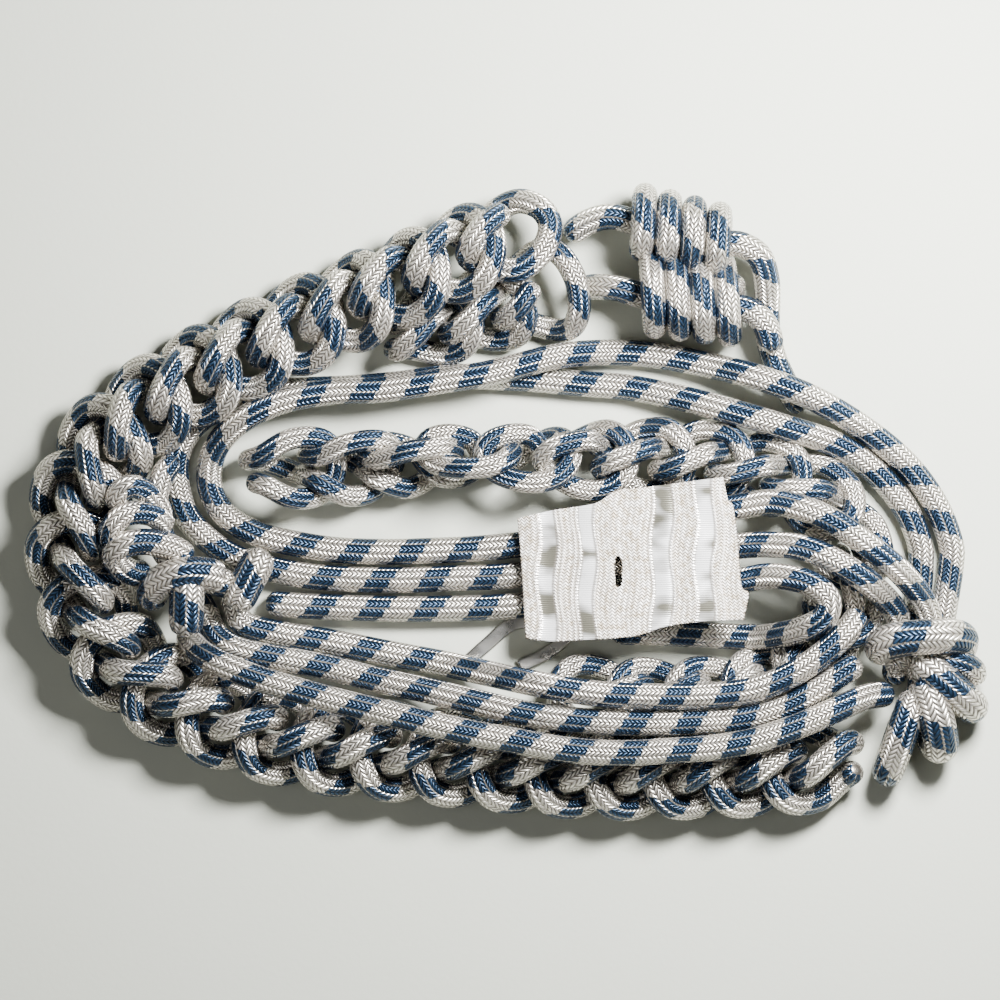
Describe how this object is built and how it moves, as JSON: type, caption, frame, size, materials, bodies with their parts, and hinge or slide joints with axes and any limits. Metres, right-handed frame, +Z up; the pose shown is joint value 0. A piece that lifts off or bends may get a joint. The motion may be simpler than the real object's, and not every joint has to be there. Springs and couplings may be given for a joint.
{
  "type": "braided dress aiguillette",
  "caption": "Folded dress cord set of chain plaits, tied knots and plain twin cords, with a woven lace shoulder tab and a hook under it.",
  "frame": {"origin": "middle of the footprint, on the surface that the set lies on", "axes": "+X along the folded length towards the fan knot, +Y towards the slide knot's side, +Z up"},
  "size_m": [0.221, 0.1464, 0.0232],
  "materials": {
    "silver_blue_cord": "silver wire braid with dark blue flecks",
    "tab_lace": "woven silver lace in matt and bright bands",
    "hook_steel": "dark polished steel"
  },
  "bodies": {
    "root": {"outer_plait": "silver_blue_cord", "upper_plait": "silver_blue_cord", "inner_plait": "silver_blue_cord", "slide_knot": "silver_blue_cord", "left_knot": "silver_blue_cord", "corner_knot": "silver_blue_cord", "cord_a": "silver_blue_cord", "cord_b": "silver_blue_cord", "cord_c": "silver_blue_cord", "cord_l1": "silver_blue_cord", "cord_l2": "silver_blue_cord", "cord_l3": "silver_blue_cord", "cord_k1": "silver_blue_cord", "cord_k2": "silver_blue_cord", "shoulder_tab": "tab_lace", "tab_hook": "hook_steel"}
  },
  "joints": []
}
